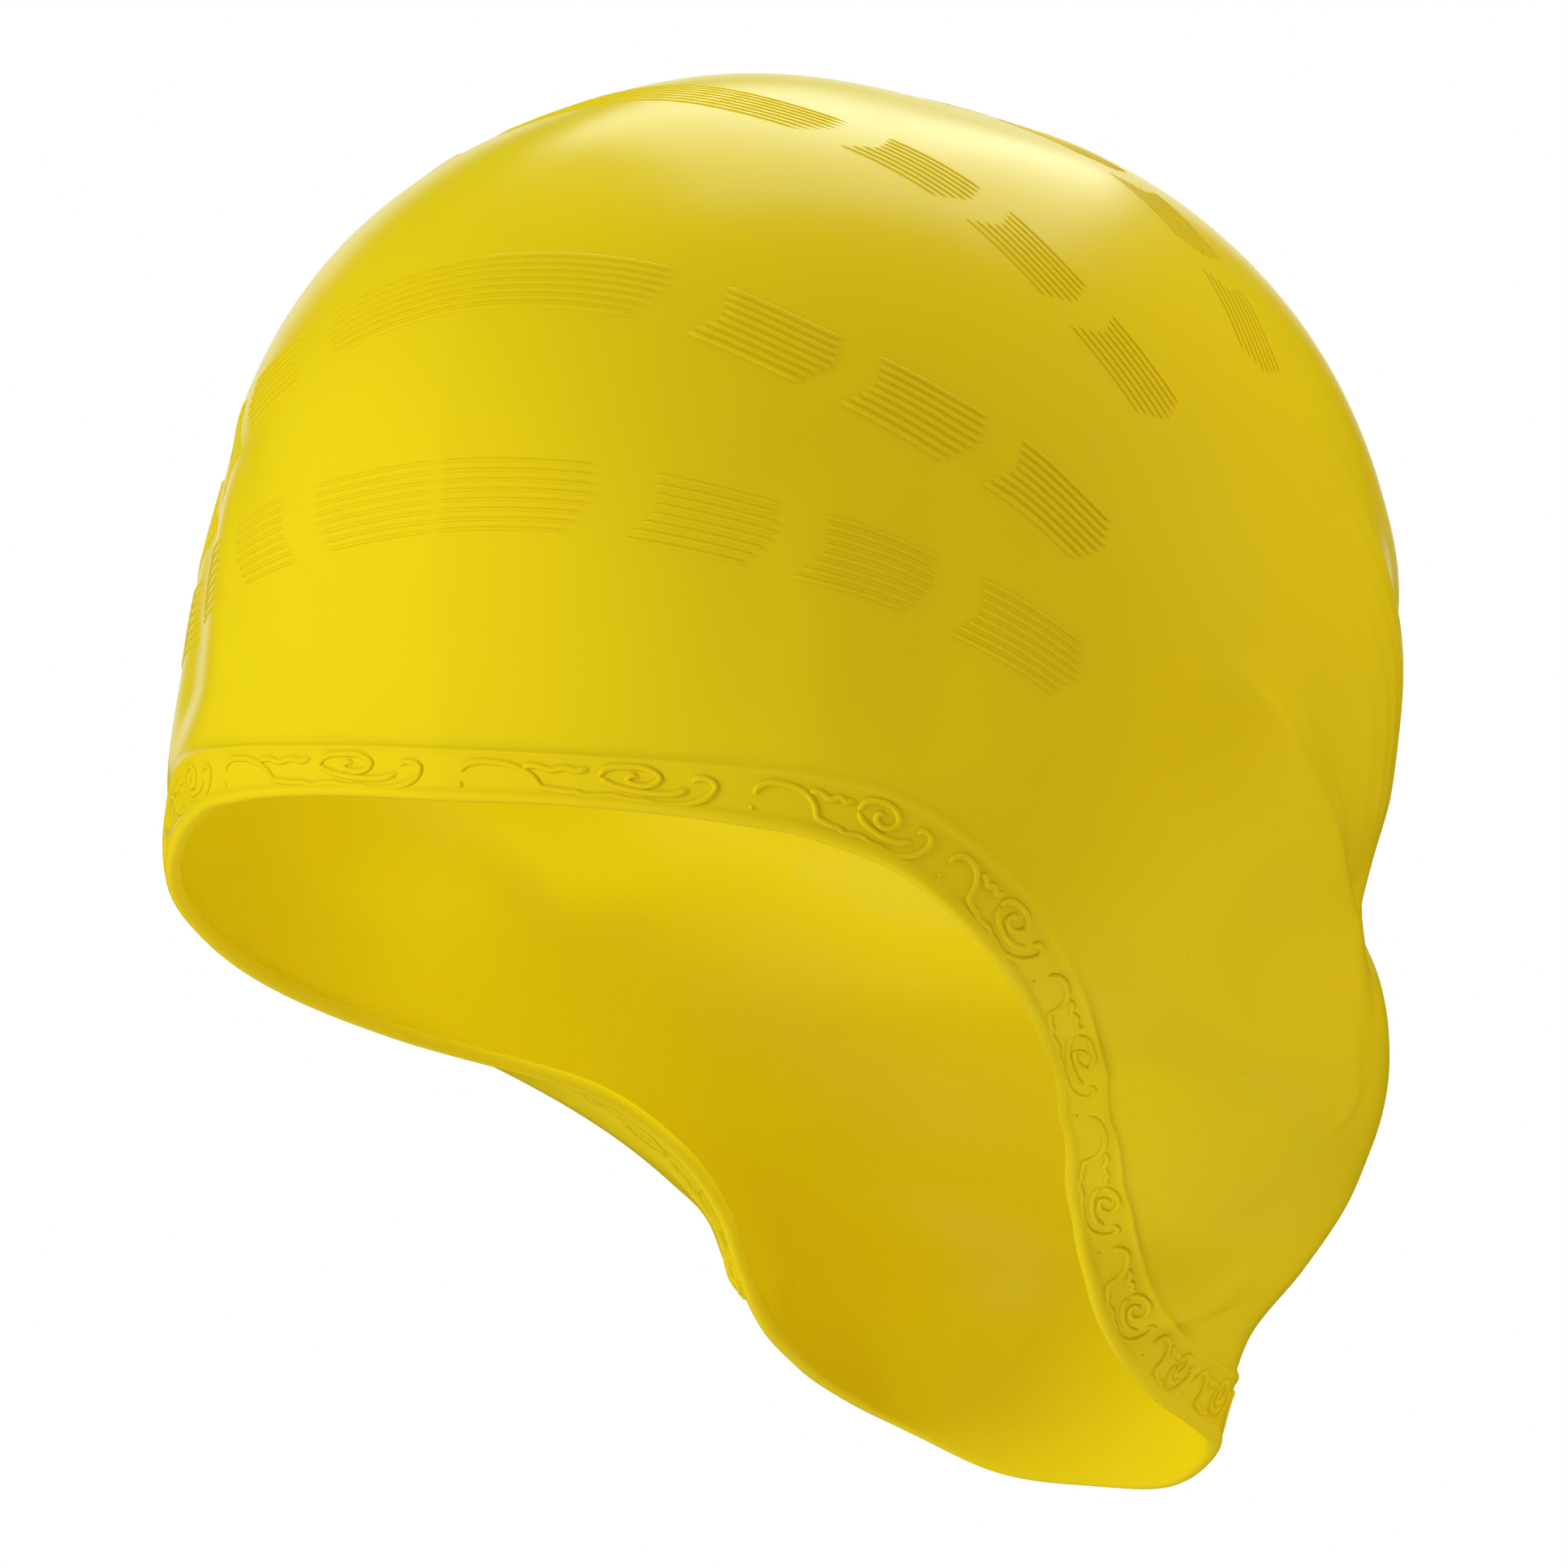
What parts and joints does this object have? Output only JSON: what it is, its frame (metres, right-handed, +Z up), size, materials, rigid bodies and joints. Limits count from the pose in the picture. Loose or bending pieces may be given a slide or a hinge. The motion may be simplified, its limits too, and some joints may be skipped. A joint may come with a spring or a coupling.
{
  "type": "swim cap",
  "caption": "Moulded silicone swim cap in its worn shape, with rib tabs over the crown, a scroll band along the edge, and a neck flap.",
  "frame": {"origin": "where the top of the head meets the inside of the crown", "axes": "+Z up, -Y towards the wearer's front, +X towards the wearer's left"},
  "size_m": [0.16, 0.1867, 0.2006],
  "materials": {
    "silicone": "smooth satin yellow silicone"
  },
  "bodies": {
    "root": {"cap_shell": "silicone"}
  },
  "joints": []
}
